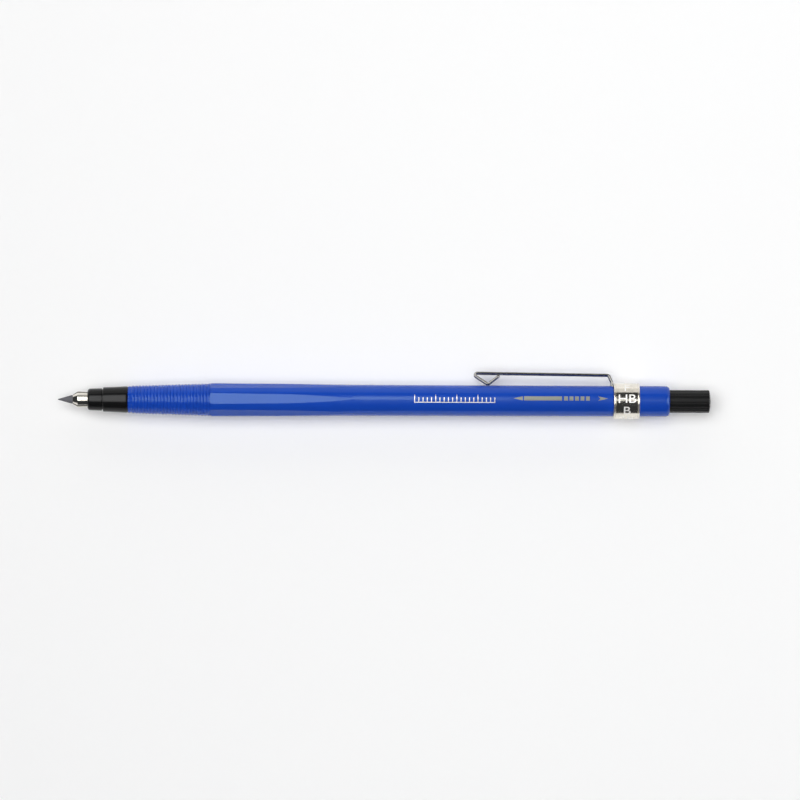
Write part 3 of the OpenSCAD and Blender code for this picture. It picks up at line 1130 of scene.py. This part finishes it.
@dataclass(frozen=True)
class Lamp:
    """One rectangular area lamp.

    Attributes:
        name: Its name.
        size: Its two sizes.
        place: Where it hangs.
        aim: Where it points.
        power: Its power in watts.
        colour: Its colour.
        mirrored: Whether glossy surfaces show it.
        lit: Whether it lights matt surfaces.
    """

    name: str
    size: tuple[float, float]
    place: tuple[float, float, float]
    aim: tuple[float, float, float]
    power: float
    colour: Colour = (1.0, 1.0, 1.0)
    mirrored: bool = True
    lit: bool = True

    def hang(self) -> None:
        """Adds the lamp to the scene."""
        data = bpy.data.lights.new(self.name, "AREA")
        data.shape = "RECTANGLE"
        data.size, data.size_y = self.size
        data.energy = self.power
        data.color = self.colour
        lamp = bpy.data.objects.new(self.name, data)
        lamp.location = self.place
        direction = Vector(self.aim) - Vector(self.place)
        lamp.rotation_euler = direction.to_track_quat("-Z", "Y").to_euler()
        lamp.visible_camera = False
        lamp.visible_glossy = self.mirrored
        lamp.visible_diffuse = self.lit
        bpy.context.scene.collection.objects.link(lamp)
        LOG.info("%s: lamp of %.3g W", self.name, self.power)


# Glossy surfaces mirror the softbox over the nose, the strip along the barrel, the glint over the ring, the
# side lamp behind the button and the wall. The key and the fill light only what is matt.
LAMPS = (
    Lamp("softbox", (0.805, 0.8), (-0.4525, 0.09, 0.7), (-0.4525, 0.09, 0.0), 7.49, lit=False),
    Lamp("key", (0.86, 0.8), (-0.2, 0.05, 0.8), (-0.2, 0.05, 0.0), 6.5, mirrored=False),
    Lamp("strip", (0.08, 0.3), (-0.01, 0.15, 0.7), (-0.01, 0.15, 0.0), 0.28),
    Lamp("glint", (0.045, 0.12), (0.0975, 0.03, 0.7), (0.0975, 0.03, 0.0), 0.024),
    Lamp("side", (0.6, 0.9), (0.8, 0.0, 0.5), (0.07, 0.0, 0.0), 6.5, lit=False),
    Lamp("wall", (1.6, 0.36), (0.0, 0.52, 0.18), (0.0, 0.0, 0.1), 1.4, colour=(1.0, 0.99, 0.97)),
    Lamp("fill", (1.8, 1.8), (0.6, -0.35, 1.4), (0.25, 0.0, 0.0), 4.0, mirrored=False),
)


@dataclass
class Studio:
    """Pale floor, soft lights and the camera.

    Attributes:
        view_width: Width of the view at the holder, in metres.
        distance: Distance from the camera to the holder.
        lean: How far the camera leans from the vertical, away from the clip, in degrees.
        roll: Turn of the picture, in degrees.
        aim_shift: From the middle of the holder to the point that the camera looks at.
        floor_radius: Radius of the floor.
        floor_sides: Corners of the floor.
        lamps: The lamps.
    """

    view_width: float = 190.0 * MM
    distance: float = 1.3
    lean: float = 5.0
    roll: float = 0.2
    aim_shift: tuple[float, float] = (4.13 * MM, -1.15 * MM)
    floor_radius: float = 2.4
    floor_sides: int = 64
    lamps: tuple[Lamp, ...] = LAMPS

    def floor(self) -> None:
        """Makes the floor, a wide disc."""
        low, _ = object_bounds()
        radius = self.floor_radius
        turns = [math.tau * number / self.floor_sides for number in range(self.floor_sides)]
        rim = [(radius * math.cos(turn), radius * math.sin(turn), low[2]) for turn in turns]
        flat = bmesh.new()
        flat.faces.new([flat.verts.new(corner) for corner in rim])
        mesh = mesh_from(flat, "floor")
        floor = bpy.data.objects.new("floor", mesh)
        mesh.materials.append(Stock.PAPER.material)
        bpy.context.scene.collection.objects.link(floor)
        floor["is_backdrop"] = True

    def lights(self) -> None:
        """Hangs every lamp."""
        for lamp in self.lamps:
            lamp.hang()

    def world(self) -> None:
        """A dark room overhead with a pale band at the horizon."""
        horizon, overhead = 0.0, 0.07
        world = bpy.data.worlds.new("room")
        world.use_nodes = True
        bpy.context.scene.world = world
        graph = Graph(world.node_tree)
        way = graph.node("ShaderNodeTexCoord")["Generated"]
        rise = graph.node("ShaderNodeSeparateXYZ", {}, {0: way})["Z"]
        pale, dark = (0.78, 0.79, 0.8), (0.035, 0.037, 0.04)
        ramp = graph.node("ShaderNodeValToRGB", {"stops": [(horizon, pale), (overhead, dark)]}, {"Fac": rise})
        ground = graph.node("ShaderNodeBackground", {}, {"Color": ramp["Color"], "Strength": 1.0})
        graph.node("ShaderNodeOutputWorld", {}, {"Surface": ground["Background"]})

    def camera(self) -> None:
        """Looks straight down on the holder, leaning a little away from the clip."""
        low, high = (Vector(corner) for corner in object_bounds())
        aim = (low + high) / 2 + Vector((*self.aim_shift, 0.0))
        aim.z = box_middle("push_button").z
        lean = math.radians(self.lean)
        data = bpy.data.cameras.new("camera")
        data.sensor_width = 36.0
        data.lens = data.sensor_width * self.distance / self.view_width
        data.clip_start = 0.01
        data.clip_end = 20.0
        camera = bpy.data.objects.new("camera", data)
        camera.location = aim + Vector((0.0, -math.sin(lean), math.cos(lean))) * self.distance
        camera.rotation_euler = (lean, 0.0, math.radians(self.roll))
        bpy.context.scene.collection.objects.link(camera)
        bpy.context.scene.camera = camera

    def build(self) -> None:
        """Sets up the whole studio."""
        self.floor()
        self.lights()
        self.world()
        self.camera()
        bpy.context.scene.view_settings.view_transform = "Standard"


def main() -> None:
    """Builds the looks of the holder around its frame and sets up the studio."""
    logging.basicConfig(level=logging.INFO, format="%(message)s")
    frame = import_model()
    nodes = frame["nodes"]
    for assembly in (Clutch(nodes), Barrel(nodes), GradeRing(nodes), Clip(nodes), Button(nodes)):
        assembly.dress()
        assembly.build()
    Studio().build()


if __name__ == "__main__":
    main()
